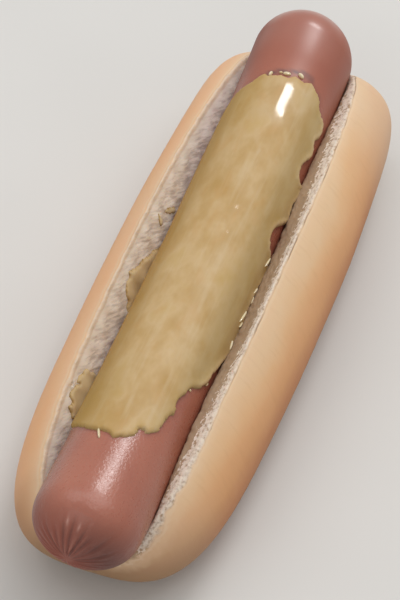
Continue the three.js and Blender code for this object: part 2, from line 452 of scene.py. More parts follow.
def make_loaf():
    """The bun before it is cut, flat underneath where it was baked."""
    start_afresh()
    bpy.ops.mesh.primitive_uv_sphere_add(
        segments=160, ring_count=120, radius=1, rotation=(math.radians(90), 0, 0),
    )
    piece = named("bun_bread")
    settle(piece)
    ball = corners(piece) * MM
    x, along, z = ball.T
    along = np.clip(along, -1, 1)
    full = fullness(along)
    reach = np.maximum(np.hypot(x, z), 1e-9)
    power = np.where(z > 0, TOP_POWER, BOTTOM_POWER)
    across = signed_power(x / reach, 2 / power)
    up = signed_power(z / reach, 2 / power)
    rise = (CROWN_HEIGHT - BELLY_HEIGHT) * full["crown"]
    drop = (BELLY_HEIGHT + FLAT_DEPTH) * full["base"]
    side = BUN_HALF_WIDTH * full["width"] * across
    for place, width, bulge in RIGHT_BULGES:
        side += bulge * bell(along - place, width) * np.maximum(across, 0)
    drawn_in = full["cleft_depth"] * bell(side, full["cleft_width"]) * along**CLEFT_POWER
    height = BELLY_HEIGHT + full["lift"] + up * np.where(up > 0, rise, drop)
    place_corners(piece, np.stack([
        full["lean"] + side,
        BUN_MIDDLE + BUN_HALF_LENGTH * along - drawn_in,
        np.maximum(height, 0),
    ], -1))
    return piece


def cut_half_width(height, y, side):
    """How far the cut's wall lies from its middle, at a height above the sausage's axis."""
    along = y / BUN_FAR_END
    widening = along**2 * np.where(along < 0, CUT_NEAR_FLARE, CUT_FAR_FLARE)
    risen = height - CUT_FLOOR
    half = CUT_FLOOR_HALF_WIDTH + risen * (CUT_FLARE + widening)
    below = below_crown(np.stack([half, y, axis_height(y) + height], -1))
    by_end = smooth_step(SHOULDER["from"], SHOULDER["to"], np.abs(y))
    slope = SHOULDER["slope"] + (SHOULDER["end_slope"] - SHOULDER["slope"]) * by_end
    most = (CUT_FLARE + widening - SHOULDER["least_flare"]) * risen
    shoulder = np.minimum(slope * below, most)
    return half - np.where(side > 0, np.maximum(shoulder, 0), 0)


def folds_along(y, height, side):
    """The wall's broad folds, which the two sides don't share."""
    shifted = y + FOLD_SHIFT * side
    waves = sum(np.sin(a * shifted + b * height + start) for a, b, start in FOLD_WAVES)
    return np.where(side > 0, *FOLD_HEIGHTS) * waves


def make_cut():
    """The space between the two halves of the bun, above the sausage's bed."""
    start_afresh()
    bpy.ops.mesh.primitive_cube_add(size=2)
    piece = named("cut_space")
    in_edit_mode(
        piece, "FACE", everything,
        lambda: bpy.ops.mesh.subdivide(number_cuts=CUT_DIVISIONS),
    )
    block = corners(piece) * MM
    x, y, z = block.T
    y = y * (SAUSAGE_HALF_LENGTH + CUT_OVERRUN)
    height = CUT_FLOOR + ((z + 1) / 2) ** CUT_ROW_POWER * (CUT_CEILING - CUT_FLOOR)
    half = cut_half_width(height, y, np.sign(x)) + folds_along(y, height, np.sign(x))
    place_corners(piece, np.stack([x * half, y, axis_height(y) + height], -1))
    return piece


def cut_away(piece, cutter):
    modify(piece, "BOOLEAN", operation="DIFFERENCE", solver="MANIFOLD", object=cutter)
    bpy.data.objects.remove(cutter)


BED_DEPTH = 0.12
BED_MESH = {"segments": 96, "rings": 61, "cuts": 60}
BUN_VOXEL = 0.42

# The crumb reaches a little over the lip, and further on the right towards the near end,
# where its border is softer and more torn.
CRUMB_BORDER = 0.5
BORDER_SOFTNESS = 0.3
TORN_SOFTNESS = 0.5
RAGGED = ((0.08, (0.5, 0.8, 0.5), 0), (0.07, 1.7, 5))
TORN_LIP = ((0.9, (0.6, 0.4, 0.6), 7), (0.5, 1.5, 9))
CRUMB_OVER_LIP = {"from": -32.0, "to": -58.0, "more": 1.5}
GROOVE = {"at": 0.8, "width": 0.24, "depth": 0.16}
RIM = {"at": 1.3, "width": 0.4, "height": 0.06}
CRACKS = {"scale": (0.2, 0.16, 0.2), "seed": 13, "from": -0.05, "to": 0.3, "least": 0.25}
LEFT_CRACKED = 0.15
CRUST_SWELLS = ((0.16, (0.05, 0.04, 0.08), 31), (0.03, (0.1, 0.6, 0.12), 37))
FLAT_TO = (0.2, 2.5)
PLAIN_CRUST_FROM = 3.0
PLAIN_CRUST_SHARE = 0.22

# The crumb's relief grows below the crown. The right side's crumb is the more torn one,
# and the left side's the more wrinkled: each pair is the right side's and the left's.
DEEP_FROM_TO = (0.8, 6.5)
CRUMB = {
    "soft": (0.6, 0.8), "grain": (0.16, 0.02), "pits": (0.45, 0.12), "lip": (0.08, 0.12),
}
WRINKLE_SLANT = 0.6
SIDES_APART = 9
WRINKLES = ((0.2, (0.26, 0.15, 1), 3), (0.17, (0.75, 0.26, 1), 11))
CREASES = {"depth": 0.12, "sharpness": 3.2, "scale": (0.5, 0.2, 1), "seed": 17}
GRAINS = {"scale": 1.1, "seed": 19}
PITS = {"scale": 0.55, "seed": 23, "from": 0.18}
BUBBLE = {
    "along": -40.6, "height": 4.7, "radius": 0.65, "rise": 0.3, "ring_width": 0.3,
    "hole": 0.55, "hole_width": 0.4,
}


def into_bread_from_cut(places):
    """How far each place lies inside the bread, level, from the wall of the cut."""
    x, y, z = places.T
    height = z - axis_height(y)
    wall = np.abs(x) - cut_half_width(height, y, np.sign(x))
    wall = wall - folds_along(y, height, np.sign(x))
    return np.where(height > CUT_FLOOR, wall, np.hypot(x, height) - SAUSAGE_RADIUS)


def below_crown(places):
    """How far each place lies below the loaf's crown."""
    x, y, z = places.T
    full = fullness(np.clip((y - BUN_MIDDLE) / BUN_HALF_LENGTH, -1, 1))
    half_width = np.maximum(BUN_HALF_WIDTH * full["width"], 1)
    aside = np.clip(np.abs(x - full["lean"]) / half_width, 0, 1)
    rise = (CROWN_HEIGHT - BELLY_HEIGHT) * full["crown"] * np.sqrt(1 - aside**2)
    return BELLY_HEIGHT + full["lift"] + rise - z


def bubble(places):
    """A burst bubble in the left wall's crumb: a low ring round a hole."""
    x, y, z = places.T
    away = np.hypot(y - BUBBLE["along"], z - axis_height(y) - BUBBLE["height"])
    ring = BUBBLE["rise"] * bell(away - BUBBLE["radius"], BUBBLE["ring_width"])
    hole = BUBBLE["hole"] * bell(away, BUBBLE["hole_width"])
    return np.where(x < 0, ring - hole, 0)


def crumb_relief_at(places, deep):
    """How far the torn crumb stands out, in millimetres."""
    x, y, z = places.T
    height = z - axis_height(y)
    slope = math.hypot(1, WRINKLE_SLANT)
    across = (height + WRINKLE_SLANT * y) / slope
    along = (y - WRINKLE_SLANT * height) / slope
    lie = np.stack([across, along, SIDES_APART * np.sign(x)], -1)
    creases = np.abs(rough(lie, CREASES["scale"], CREASES["seed"]))
    creases = np.maximum(0, 1 - CREASES["sharpness"] * creases)
    soft = layered(lie, WRINKLES) - CREASES["depth"] * creases
    grains = rough(places, GRAINS["scale"], GRAINS["seed"])
    pits = np.maximum(0, rough(places, PITS["scale"], PITS["seed"]) - PITS["from"])
    right = x > 0
    torn = np.where(right, *CRUMB["grain"]) * grains - np.where(right, *CRUMB["pits"]) * pits
    at_lip = np.where(right, *CRUMB["lip"])
    relief = np.where(right, *CRUMB["soft"]) * soft + torn
    return relief * (at_lip + (1 - at_lip) * deep) + bubble(places)


def make_cut_loaf():
    """The loaf with the sausage's bed and the space above it cut away, before its relief."""
    piece = make_loaf()
    cut_away(piece, capsule("bed_space", -BED_DEPTH, **BED_MESH)[0])
    cut_away(piece, make_cut())
    modify(piece, "REMESH", mode="VOXEL", voxel_size=BUN_VOXEL * MM)
    modify(piece, "SMOOTH", factor=0.5, iterations=6)
    return piece


def make_bun():
    """The bread, with torn crumb in its cut and a cracked groove along its lips."""
    piece = make_cut_loaf()
    places = corners(piece)
    deep = smooth_step(*DEEP_FROM_TO, below_crown(places))
    right = places[:, 0] > 0
    over_lip = smooth_step(CRUMB_OVER_LIP["from"], CRUMB_OVER_LIP["to"], places[:, 1]) * right
    border = into_bread_from_cut(places) + layered(places, RAGGED)
    border -= over_lip * (CRUMB_OVER_LIP["more"] + layered(places, TORN_LIP))
    soft = BORDER_SOFTNESS + TORN_SOFTNESS * over_lip
    crumb = 1 - smooth_step(CRUMB_BORDER - soft, CRUMB_BORDER + soft, border)
    relief = crumb_relief_at(places, deep)
    cracks = rough(places, CRACKS["scale"], CRACKS["seed"])
    cracks = smooth_step(CRACKS["from"], CRACKS["to"], cracks)
    cracks = CRACKS["least"] + (1 - CRACKS["least"]) * cracks
    cracked = np.where(right, 1 - over_lip, LEFT_CRACKED) * cracks
    groove = GROOVE["depth"] * cracked * bell(border - GROOVE["at"], GROOVE["width"])
    rim = RIM["height"] * cracked * bell(border - RIM["at"], RIM["width"])
    crust = layered(places, CRUST_SWELLS) - groove + rim
    above_base = smooth_step(*FLAT_TO, places[:, 2])
    depth = crumb * relief + (1 - crumb) * crust * above_base
    place_corners(piece, places + facing(piece) * depth[:, None])

    # The crumb's dips are marked, for the finish to paint shade into them.
    hollow = np.clip(0.4 - 1.2 * relief, 0, 1)
    mark(piece, crumb=crumb, deep=deep, hollow=hollow, border=border, cracked=cracked)
    plain = border > PLAIN_CRUST_FROM
    in_edit_mode(
        piece, "VERT", lambda vertex: plain[vertex.index],
        lambda: bpy.ops.mesh.decimate(ratio=PLAIN_CRUST_SHARE),
    )
    shade_smooth(piece)
    return piece


# -------------------------------------------------------------- mustard

# The mustard's edge, as a turn from straight up in degrees, positive to the right,
# and a place along the sausage in millimetres.
MUSTARD_EDGE = (
    (-52, 49.2), (-42, 50.1), (-32, 51.2), (-26, 52.5), (-21, 53.4), (-15, 52.9), (-9, 53),
    (-1, 53.5), (7, 53.4), (12, 54.3), (18, 54.5), (24, 54), (29, 54.9), (35.5, 55),
    (41, 54.1), (46, 54.1), (50, 53.1), (54, 51.3), (61, 50.2), (69, 49.6), (72, 48.2),
    (74, 46.7), (69.5, 44.6), (66.5, 43.2), (70, 41.7), (71.5, 39.6), (66, 37.1),
    (62.5, 35.2), (64, 33), (69, 31.9), (77, 32), (82.5, 31), (81, 28.7), (77.5, 26.1),
    (78.5, 23.9), (81, 22), (77.5, 20), (68, 17.4), (63.3, 15.4), (64.5, 13.3), (69, 11.5),
    (77, 10.5), (83, 8.2), (87, 5.6), (82, 2.2), (82.5, -0.7), (79, -2.9), (81, -5),
    (84, -9), (89, -14), (85, -18), (78, -22), (72.5, -25.9), (69.5, -28.2), (69, -30),
    (62, -32.9), (52, -34.9), (48, -37.6), (44, -40), (43.5, -41.6), (46.8, -42.8),
    (46, -44), (42, -45), (40.8, -46.6), (40, -48.4), (38.5, -50.1), (34.5, -51.2),
    (29.5, -52.4), (25.5, -52), (21.5, -52.3), (19.8, -53.3), (19, -54.5), (9, -56.1),
    (1, -56.9), (-3.5, -56.2), (-10, -55.8), (-20, -55.8), (-31, -55.2), (-47, -53.9),
    (-62, -52.5), (-72, -51.2), (-84, -49), (-92, -44), (-88, -36), (-82, -28), (-85, -18),
    (-93, -12), (-94, 0), (-88, 8), (-83, 16), (-86, 22), (-78, 29), (-70, 36), (-66, 42),
    (-60, 46.5),
)
EDGE_STEPS = 4
TORN_EDGE = ((0.26, 0.9, 41), (0.3, 1.8, 43))
SHEET_SPACING = 0.34
SHEET_MARGIN = 0.9
SHEET_ROOT = 0.75

# How a sheet stands on what it lies on: its lift, how wide its rounded edge is, and how
# steeply and how far it goes down past its edge.
LAYER_EDGE = {"lift": 0.0, "rounding": 0.8, "slope": 0.7, "lowest": -0.5}
SMEAR_EDGE = {"lift": 0.2, "rounding": 0.5, "slope": 1.4, "lowest": -0.6}

# The layer's crown lies a little to the right. Along the sausage it gets thicker
# towards the far end and thinner towards the near one, each between two places.
CROWN = {"turn": 10, "spread": 0.9, "thickness": 1.3}
SIDE_THICKNESS = 0.42
NEAR_THICKNESS = 0.8
LEAST_THICKNESS = 0.3
THICKER = (18, 38)
THINNER = (-40, -52)
LUMPS = (
    (0.13, (0.13, 0.07, 1), 53), (0.04, (0.45, 0.08, 1), 59), (0.015, (0.7, 0.4, 1), 61),
)

# Its edge swells, most of all in lobes on the right flank, below a shallow hollow.
LIP = {"at": 0.9, "width": 0.7, "height": 0.04, "lobe_height": 0.32, "flank": (35, 62)}
LOBES = ((0.9, (0.05, 0.22, 1), 67),)
LOBES_MOST = 1.2
HOLLOW = {"turn": 52, "spread": 11, "depth": 0.25}
WET_LIP = {"share": 0.5, "at": 0.6, "width": 0.8, "flank": (55, 70)}

# The layer's far end is a smooth slope, which catches the light along one line.
SHINE = {"turn": 14, "aside": (13, 34), "before": (6, 11), "past": (3, 4.8)}
FAR_SLOPE = {"from": 41.5, "to": 53.5, "ease": 0.7, "thickness": 1.9, "share": 0.53}

# Small wet swellings: turn in degrees, place along, radius, rise and how wet they are.
WET_SPOTS = (
    (11.5, 40.3, 0.6, 0.03, 0.5), (10, 29.6, 0.7, 0.07, 0.8), (12, 12.4, 1.2, 0.08, 0.25),
    (14.5, 5.2, 0.8, 0.05, 0.25), (14.5, -18.2, 1.5, 0.03, 0.12),
    (8.5, -31.2, 2.2, 0.0, 0.1), (8, -41.6, 2.6, 0.0, 0.08),
)
WET_SPOT_NARROWING = 1.4


def smooth_line(knots):
    """A smooth closed line through the knots."""
    knots = np.array(knots, float)
    before, after, beyond = (np.roll(knots, -k, axis=0) for k in (-1, 1, 2))
    line = []
    for step in np.arange(EDGE_STEPS) / EDGE_STEPS:
        line.append(0.5 * (
            2 * knots
            + (after - before) * step
            + (2 * before - 5 * knots + 4 * after - beyond) * step**2
            + (3 * knots - before - 3 * after + beyond) * step**3
        ))
    return np.stack(line, 1).reshape(-1, 2)


def mustard_outline():
    """The mustard's edge laid flat: across the sausage's skin and along it."""
    return smooth_line([(math.radians(t) * SAUSAGE_RADIUS, y) for t, y in MUSTARD_EDGE])


def distance_to(points, line):
    """How far each point lies from a line of straight stretches."""
    nearest = np.full(len(points), 1e9)
    for start, end in zip(line[:-1], line[1:]):
        edge = end - start
        share = np.clip((points - start) @ edge / (edge @ edge), 0, 1)
        gap = points - start - share[:, None] * edge
        nearest = np.minimum(nearest, np.hypot(*gap.T))
    return nearest


def depth_inside(points, outline):
    """How far each point lies inside the outline, and less than 0 outside."""
    inside = np.zeros(len(points), bool)
    closed = np.vstack([outline, outline[:1]])
    for start, end in zip(closed[:-1], closed[1:]):
        if start[1] != end[1]:
            spans = (start[1] > points[:, 1]) != (end[1] > points[:, 1])
            share = (points[:, 1] - start[1]) / (end[1] - start[1])
            inside ^= spans & (points[:, 0] < start[0] + share * (end[0] - start[0]))
    nearest = distance_to(points, closed)
    return np.where(inside, nearest, -nearest)


def ragged_depth(across, along, outline):
    """The depth inside an outline whose edge is a little torn."""
    flat = np.stack([across, along, across * 0], -1)
    return depth_inside(flat[:, :2], outline) + layered(flat, TORN_EDGE)


def cut_sheet(name, outline):
    """A flat sheet that is cut to an outline, with an upper and a lower face."""
    low, high = outline.min(0) - SHEET_MARGIN, outline.max(0) + SHEET_MARGIN
    middle, size = (low + high) / 2, high - low
    counts = [int(n) for n in np.ceil(size / SHEET_SPACING)]
    start_afresh()
    bpy.ops.mesh.primitive_grid_add(
        x_subdivisions=counts[0], y_subdivisions=counts[1], size=1,
        location=(middle[0] * MM, middle[1] * MM, 0),
    )
    piece = named(name)
    piece.scale = (size[0] * MM, size[1] * MM, 1)
    settle(piece)
    flat = corners(piece)
    depth = ragged_depth(flat[:, 0], flat[:, 1], outline)
    in_edit_mode(
        piece, "VERT", lambda vertex: depth[vertex.index] < -SHEET_MARGIN,
        lambda: bpy.ops.mesh.delete(type="VERT"),
    )
    modify(piece, "SOLIDIFY", thickness=MM, offset=-1)
    across, along, level = corners(piece).T
    return piece, across, along, ragged_depth(across, along, outline), level < -0.5


def face_outwards(piece):
    in_edit_mode(
        piece, "FACE", everything,
        lambda: bpy.ops.mesh.normals_make_consistent(inside=False),
    )
    shade_smooth(piece)


def rounded(depth, width):
    """0 at an edge, and 1 from a width inside it, as a quarter circle."""
    return np.sqrt(np.maximum(0, 1 - (1 - np.clip(depth / width, 0, 1)) ** 2))


def sheet_height(body, depth, underneath, edge):
    """How high a sheet's two faces stand. The upper one is rounded down at its edge."""
    inside = body * rounded(depth, edge["rounding"])
    top = edge["lift"] + np.where(depth > 0, inside, edge["slope"] * depth)
    return np.where(underneath, -SHEET_ROOT, np.maximum(top, edge["lowest"]))


def far_slope(along):
    """0 along the layer, then 1 more for each stretch as long as the far slope."""
    ease = FAR_SLOPE["ease"]
    length = FAR_SLOPE["to"] - FAR_SLOPE["from"]
    return ease * np.log1p(np.exp((along - FAR_SLOPE["from"]) / ease)) / length


def shine(turn, along):
    """Where the far slope is wet and even."""
    middle = (FAR_SLOPE["from"] + FAR_SLOPE["to"]) / 2
    before = 1 - smooth_step(*SHINE["before"], middle - along)
    past_middle = 1 - smooth_step(*SHINE["past"], along - middle)
    aside = np.abs(turn - math.radians(SHINE["turn"]))
    return before * past_middle * (1 - smooth_step(*np.radians(SHINE["aside"]), aside))


def wet_spots(turn, along):
    """How far the small swellings rise, and how wet they are."""
    rise = np.zeros_like(turn)
    wet = np.zeros_like(turn)
    for degrees, place, radius, height, wetness in WET_SPOTS:
        across = (turn - math.radians(degrees)) * SAUSAGE_RADIUS
        spot = bell(np.hypot(across * WET_SPOT_NARROWING, along - place), radius)
        rise += height * spot
        wet = np.maximum(wet, wetness * spot)
    return rise, wet


def mustard_thickness(turn, along, depth):
    """The layer is thickest along its crown, and slopes down at its far end."""
    flat = np.stack([turn * SAUSAGE_RADIUS, along, along * 0], -1)
    crown = CROWN["thickness"]
    thicker = (FAR_SLOPE["thickness"] - crown) * smooth_step(*THICKER, along)
    thinner = (NEAR_THICKNESS - crown) * smooth_step(*THINNER, along)
    crown = crown + thicker + thinner
    by_crown = bell(turn - math.radians(CROWN["turn"]), CROWN["spread"])
    body = SIDE_THICKNESS + (crown - SIDE_THICKNESS) * by_crown
    body *= 1 - FAR_SLOPE["share"] * far_slope(along)
    uneven = 1 - shine(turn, along)
    body += uneven * layered(flat, LUMPS)
    aside = turn - math.radians(HOLLOW["turn"])
    body -= HOLLOW["depth"] * bell(aside, math.radians(HOLLOW["spread"]))
    lobes = np.clip(0.5 + layered(flat, LOBES), 0, LOBES_MOST)
    lobes = LIP["lobe_height"] * smooth_step(*np.radians(LIP["flank"]), turn) * lobes
    lip = bell(depth - LIP["at"], LIP["width"]) * (LIP["height"] + lobes)
    return np.maximum(body, LEAST_THICKNESS) + uneven * lip + wet_spots(turn, along)[0]


def make_mustard():
    """The layer over the sausage."""
    outline = mustard_outline()
    piece, across, along, depth, underneath = cut_sheet("mustard_layer", outline)
    turn = across / SAUSAGE_RADIUS
    body = mustard_thickness(turn, along, depth)
    out = SAUSAGE_RADIUS + sheet_height(body, depth, underneath, LAYER_EDGE)
    place_corners(piece, on_axis(out, turn, along))
    face_outwards(piece)
    wet_lip = WET_LIP["share"] * smooth_step(*np.radians(WET_LIP["flank"]), turn)
    wet_lip = wet_lip * bell(depth - WET_LIP["at"], WET_LIP["width"])
    wet = np.maximum.reduce([shine(turn, along), wet_lip, wet_spots(turn, along)[1]])
    mark(piece, from_edge=np.maximum(depth, 0), wet=wet, turn=turn, pale=0)
    return piece


# The borders of the two smears on the bun's left wall: a place along the sausage and a
# height above its axis.
WALL_SMEARS = {
    "upper": (
        (6.7, -0.1), (3.3, 1.0), (-0.4, 3.1), (-2.0, 2.9), (-4.1, 3.9), (-6.4, 5.2),
        (-7.1, 4.2), (-9.1, 4.0), (-10.3, 3.2), (-10.9, 2.2), (-11.8, 1.0), (-13.2, -0.2),
        (-12.6, -1.6), (-8.0, -2.3), (0.0, -2.3), (6.0, -1.6),
    ),
    "lower": (
        (-32.9, 0.5), (-33.9, 1.8), (-34.5, 3.2), (-35.8, 3.2), (-37.5, 3.7),
        (-38.6, 3.6), (-38.6, 2.7), (-40.1, 3.5), (-41.4, 4.0), (-42.3, 3.9),
        (-43.0, 3.4), (-43.8, 2.3), (-45.2, 2.2), (-45.4, 1.1), (-45.8, 0.3),
        (-45.2, -1.6), (-41.0, -2.3), (-36.0, -2.3), (-33.2, -1.2),
    ),
}
# Two small loops of mustard higher up the same wall.
WALL_LOOPS = {
    "long": ((14.9, 3.3), (14.7, 2.5), (16.4, 1.0), (17.6, 0.5), (17.9, 1.3), (16.4, 2.4)),
    "short": ((12.0, 4.5), (11.2, 4.2), (10.9, 3.0), (11.3, 2.6), (11.9, 3.2)),
}
# How thick and how pale they are, and how wide the dark line is round them.
# The smears' paleness is painted light, lifting them out of the shade they lie in.
SMEAR_LOOK = {"thickness": 0.24, "pale": 0.4, "contour": 0.06}
LOOP_LOOK = {"thickness": 0.03, "pale": 0.7, "contour": 0.3}
SMEAR_LUMPS = ((0.2, 0.35, 71),)


def on_left_wall(out, along, height):
    """Places on the cut's left wall: out from it, along it and up it."""
    wall = cut_half_width(height, along, -1) + folds_along(along, height, -1)
    return np.stack([out - wall, along, axis_height(along) + height], -1)


def make_smear(name, border, thickness, pale, contour):
    """Mustard that has run down between the sausage and the bun's left wall."""
    piece, along, height, depth, underneath = cut_sheet(
        f"mustard_smear_{name}", smooth_line(border),
    )
    flat = np.stack([along, height, along * 0], -1)
    body = thickness * (1 + layered(flat, SMEAR_LUMPS))
    out = sheet_height(body, depth, underneath, SMEAR_EDGE)
    place_corners(piece, on_left_wall(out, along, height))
    face_outwards(piece)
    # Paleness: painted light on the smears, fading off towards the dark edge line.
    pale = pale * smooth_step(0.1, 0.3, depth / contour)
    mark(piece, from_edge=np.maximum(depth, 0) / contour, wet=0.05, turn=0, pale=pale)
    return piece


# Beads at the mustard's edges: turn in degrees, place along, half length along the
# sausage, half width across it, half height, a turn on the skin in degrees, and how
# pale they are.
# On the right flank, from 52 degrees on, the pale share paints glints: a painted highlight.
BEADS = (
    (-13.5, 53.7, 0.7, 0.36, 0.5, -14, 0.9), (-3, 54.5, 0.26, 0.45, 0.35, 0, 0.4),
    (4, 54.6, 0.42, 0.9, 0.45, 8, 0.8), (19, 55.5, 0.42, 0.8, 0.55, -25, 0.9),
    (-14.5, -56.7, 1.4, 0.28, 0.42, 24, 0.8),
    (52, -35.6, 0.3, 0.25, 0.25, 0, 0.3), (70, -30.2, 0.5, 0.2, 0.3, -10, 0.5),
    (78, 30.3, 0.5, 0.15, 0.4, -14, 0.9), (74.5, 8.0, 1.7, 0.14, 0.4, -9, 1.0),
    (75.5, -0.6, 1.2, 0.13, 0.4, -14, 1.0), (77, -3.0, 1.1, 0.13, 0.4, 10, 0.8),
    (74.5, -8.6, 2.0, 0.16, 0.4, -10, 1.0), (77, -10.6, 0.9, 0.12, 0.4, -4, 0.7),
    (76.5, -17.0, 1.2, 0.19, 0.4, 14, 1.0),
)
BEAD_MESH = {"segments": 24, "ring_count": 16}
BEAD_BLUNTNESS = 0.72

# A bead is lifted off the skin, and more so down at the right edge's turns.
BEAD_LIFT = 0.15
SIDE_BEAD_LIFT = 0.45
SIDE_BEADS_FROM = 72


def make_beads():
    """The pale drops along the mustard's edges, as one piece; on the right flank, paleness is
    painted highlight.
    """
    start_afresh()
    made = []
    for turn, along, half_length, half_width, half_height, spin, pale in BEADS:
        angle = math.radians(turn)
        bpy.ops.mesh.primitive_uv_sphere_add(radius=MM, **BEAD_MESH)
        bead = named("mustard_bead")
        ball = corners(bead)
        ball[:, 1] = signed_power(ball[:, 1], BEAD_BLUNTNESS)
        place_corners(bead, ball * (half_width, half_length, half_height))
        bead.rotation_euler = (0, 0, math.radians(spin))
        settle(bead)
        bead.rotation_euler = (0, angle, 0)
        out = SAUSAGE_RADIUS + BEAD_LIFT + SIDE_BEAD_LIFT * (turn > SIDE_BEADS_FROM)
        bead.location = on_axis(out, angle, along) * MM
        settle(bead)
        mark(bead, from_edge=5, wet=1, turn=0, pale=pale)
        made.append(bead)
    start_afresh()
    for bead in made:
        bead.select_set(True)
    bpy.context.view_layer.objects.active = made[0]
    bpy.ops.object.join()
    piece = named("mustard_beads")
    shade_smooth(piece)
    return piece


# ------------------------------------------------------------- finishes


def colour(code):
    """A colour from its six-figure code, in linear light."""
    channels = [int(code[i:i + 2], 16) / 255 for i in (0, 2, 4)]
    linear = [c / 12.92 if c <= 0.04045 else ((c + 0.055) / 1.055) ** 2.4 for c in channels]
    return (*linear, 1)


class Value:
    """A node's socket in a finish. Sums with it add Math nodes."""

    def __init__(self, finish, socket):
        self.finish = finish
        self.socket = socket

    def maths(self, operation, first, second):
        return self.finish.add("ShaderNodeMath", {"operation": operation}, {0: first, 1: second})

    def __add__(self, other):
        return self.maths("ADD", self, other)

    def __sub__(self, other):
        return self.maths("SUBTRACT", self, other)

    def __rsub__(self, other):
        return self.maths("SUBTRACT", other, self)

    def __mul__(self, other):
        return self.maths("MULTIPLY", self, other)

    __radd__ = __add__
    __rmul__ = __mul__


class Finish:
    """A material made of nodes, with one shader."""

    def __init__(self, name, **constants):
        self.material = bpy.data.materials.new(name)
        self.material.use_nodes = True
        self.tree = self.material.node_tree
        self.shader = self.tree.nodes["Principled BSDF"]
        for socket, value in constants.items():
            self.shader.inputs[socket.replace("_", " ")].default_value = value

    def add(self, kind, settings, values, output=0):
        """Adds a node: its settings first, then the values or links of its sockets."""
        node = self.tree.nodes.new(kind)
        for name, setting in settings.items():
            if name == "stops":
                self.set_stops(node.color_ramp, setting)
            else:
                setattr(node, name, setting)
        for name, value in values.items():
            if isinstance(value, Value):
                self.tree.links.new(value.socket, node.inputs[name])
            else:
                node.inputs[name].default_value = value
        return Value(self, node.outputs[output])

    @staticmethod
    def set_stops(ramp, stops):
        while len(ramp.elements) < len(stops):
            ramp.elements.new(1)
        for element, (place, code) in zip(ramp.elements, stops):
            element.position = place
            element.color = colour(code)

    def feed(self, socket, value):
        self.tree.links.new(value.socket, self.shader.inputs[socket])

    def place(self, *stretch, slant=0.0):
        """Object coordinates, tilted about X and stretched to features to a millimetre."""
        where = self.add("ShaderNodeTexCoord", {}, {}, output="Object")
        return self.add("ShaderNodeMapping", {"vector_type": "TEXTURE"}, {
            "Vector": where, "Rotation": (math.radians(slant), 0, 0),
            "Scale": tuple(MM / s for s in stretch),
        })

    def level(self, axis, low, high):
        """0 at one place along an axis in millimetres, 1 at another."""
        where = self.add("ShaderNodeTexCoord", {}, {}, output="Object")
        place = self.add("ShaderNodeSeparateXYZ", {}, {"Vector": where}, output=axis)
        return self.step(place, low * MM, high * MM)

    def step(self, value, low, high):
        """0 up to one value and 1 from another, with soft ends."""
        return self.add(
            "ShaderNodeMapRange", {"interpolation_type": "SMOOTHSTEP"},
            {"Value": value, "From Min": low, "From Max": high},
        )

    def noise(self, *stretch, detail=3.0, roughness=0.55, distortion=0.0, slant=0.0):
        return self.add("ShaderNodeTexNoise", {}, {
            "Vector": self.place(*stretch, slant=slant), "Scale": 1.0, "Detail": detail,
            "Roughness": roughness, "Distortion": distortion,
        })

    def read(self, attribute):
        return self.add(
            "ShaderNodeAttribute", {"attribute_name": attribute}, {}, output="Fac",
        )

    def ramp(self, value, *stops):
        return self.add("ShaderNodeValToRGB", {"stops": stops}, {"Fac": value})

    def mix(self, share, first, second):
        """From the first colour to the second by a share of 0 to 1."""
        first, second = (colour(c) if isinstance(c, str) else c for c in (first, second))
        return self.add(
            "ShaderNodeMix", {"data_type": "RGBA"}, {0: share, 6: first, 7: second}, output=2,
        )

    def over(self, base, *layers):
        """Lays colours over a base in turn, each by its share."""
        for share, code in layers:
            base = self.mix(share, base, code)
        return base

    def bump(self, height, strength, distance, below=None):
        values = {"Height": height, "Strength": strength, "Distance": distance * MM}
        if below is not None:
            values["Normal"] = below
        return self.add("ShaderNodeBump", {}, values)


WRINKLE_ANGLE = -31


def crust_colour(finish, near_end):
    """Golden on top, browner down the sides, with painted shade in the cracked groove by the
    lips.
    """
    border = finish.read("border")
    patches = finish.noise(0.07, 0.05, 0.1, detail=2.0)
    browned = finish.level("Z", 34, 2) + (patches - 0.5) * 0.22
    crust = finish.ramp(
        browned,
        (0.02, "edcaa2"), (0.12, "ebbe8f"), (0.25, "e6b07f"), (0.42, "dda473"),
        (0.68, "c4865b"), (1.0, "a66d45"),
    )
    ends = finish.level("Y", 38, 66) + near_end * 0.7
    near_lip = 1 - finish.step(border, 1.2, 5.5)
    streaks = finish.step(finish.noise(0.12, 0.9, 0.2, detail=4.0), 0.5, 0.8)
    baked = finish.step(finish.noise(0.04, 0.03, 0.04, detail=2.0), 0.3, 0.7)
    left = finish.level("X", -12, -20)
    rim = finish.step(border, 1.0, 1.2) * (1 - finish.step(border, 1.4, 2.2))
    groove = finish.step(border, 0.45, 0.65) * (1 - finish.step(border, 0.9, 1.05))
    return finish.over(
        crust,
        (ends * 0.45, "e8d3b8"),
        # Painted shade: the near end is greyer brown low down.
        (near_end * finish.level("Z", 26, 8) * 0.85, "9f7c5a"),
        (near_lip * 0.5, "f0d0ab"),
        (streaks * 0.1, "b98256"),
        (left * (0.4 + baked * 0.25), "f6b887"),
        # Painted shade: the left side darkens at its near tip.
        (left * finish.level("Y", -60, -70) * 0.6, "a06e48"),
        (rim * 0.3, "f0dac0"),
        # Painted shade: the cracked groove by the lips is coloured dark.
        (groove * finish.read("cracked") * 0.7, "8a6f5e"),
    )


